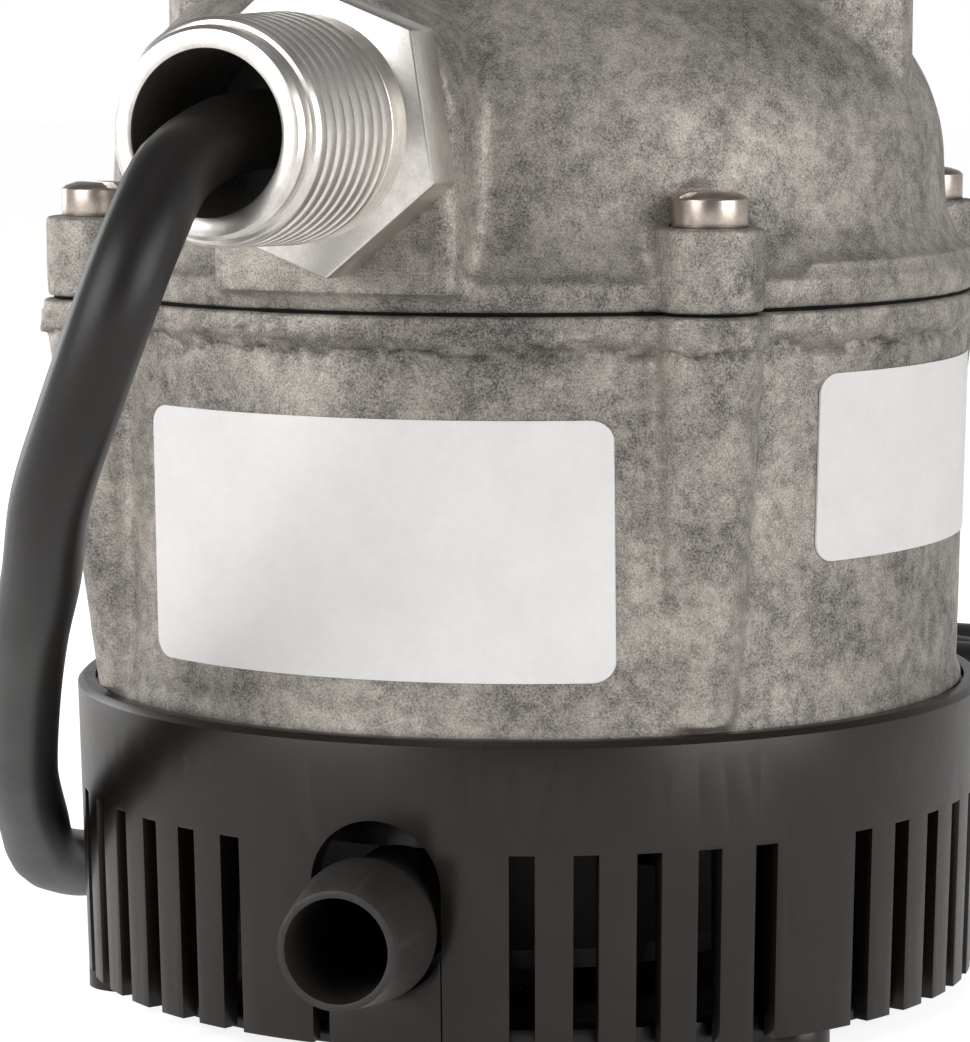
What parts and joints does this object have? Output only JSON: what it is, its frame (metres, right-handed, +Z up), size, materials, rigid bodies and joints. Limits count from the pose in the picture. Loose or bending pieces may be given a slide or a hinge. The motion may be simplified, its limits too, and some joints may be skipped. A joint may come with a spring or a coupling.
{
  "type": "submersible sump pump",
  "caption": "Small submersible pump: domed cast cover with arch handle, motor housing, slotted strainer base, discharge hose barb, conduit adapter with power cord and plug.",
  "frame": {"origin": "centre of the base plate's resting face, on the motor axis", "axes": "+Z up along the motor axis; -Y is the way the conduit adapter points, with the discharge barb 5 degrees from it towards +X; the handle lies in the X-Z plane"},
  "size_m": [0.1295, 0.2621, 0.15],
  "materials": {
    "cast_aluminium": "as-cast, mottled warm grey, low gloss",
    "machined_aluminium": "turned, bright, fine tool marks",
    "black_plastic": "moulded, semi-matt black-brown",
    "stainless_steel": "turned and slotted, satin",
    "cord_rubber": "extruded jacket, dull black",
    "gasket_rubber": "matt black sheet",
    "label_white": "blank white vinyl, satin",
    "epoxy": "cast black resin",
    "lamination_steel": "stacked sheet, varnished",
    "copper_winding": "enamelled wire",
    "bronze": "sintered, oiled",
    "steel_shaft": "ground",
    "cast_rotor_aluminium": "die-cast",
    "ceramic": "lapped off-white ceramic",
    "carbon": "lapped carbon",
    "spring_wire": "bright wire",
    "green_insulation": "green insulation",
    "black_insulation": "black insulation",
    "splice_nylon": "natural nylon",
    "plated_brass": "stamped brass"
  },
  "bodies": {
    "pump_body": {"top_cover": "cast_aluminium", "cover_gasket": "gasket_rubber", "motor_housing": "cast_aluminium", "cover_screws": "stainless_steel", "conduit_adapter": "machined_aluminium", "cord_seal": "epoxy", "front_label": "label_white", "side_label": "label_white", "strainer_ring": "black_plastic", "base_plate": "black_plastic", "base_screws": "stainless_steel", "volute_casing": "black_plastic", "intake_cover": "black_plastic", "intake_screws": "stainless_steel", "pump_screws": "stainless_steel", "hub_o_ring": "gasket_rubber", "stator_core": "lamination_steel", "stator_windings": "copper_winding", "thermal_protector": "epoxy", "lead_wires": "black_insulation", "ground_wire": "green_insulation", "wire_splices": "splice_nylon", "ground_screw": "plated_brass", "upper_bearing": "bronze", "lower_bearing": "bronze", "seal_cup": "gasket_rubber", "seal_seat": "ceramic", "power_cord": "cord_rubber", "cord_coil": "cord_rubber", "cord_tail": "cord_rubber", "plug_body": "cord_rubber", "plug_blades": "plated_brass", "ground_pin": "plated_brass"},
    "rotor": {"shaft": "steel_shaft", "rotor_core": "lamination_steel", "rotor_end_rings": "cast_rotor_aluminium", "thrust_washer": "steel_shaft", "seal_head": "carbon", "seal_spring": "spring_wire", "impeller": "black_plastic", "impeller_nut": "plated_brass"}
  },
  "joints": [
    {"name": "rotor_spin", "type": "hinge", "parent": "pump_body", "child": "rotor", "pos_m": [0, 0, 0.05], "axis": [0, 0, 1], "continuous": true}
  ]
}
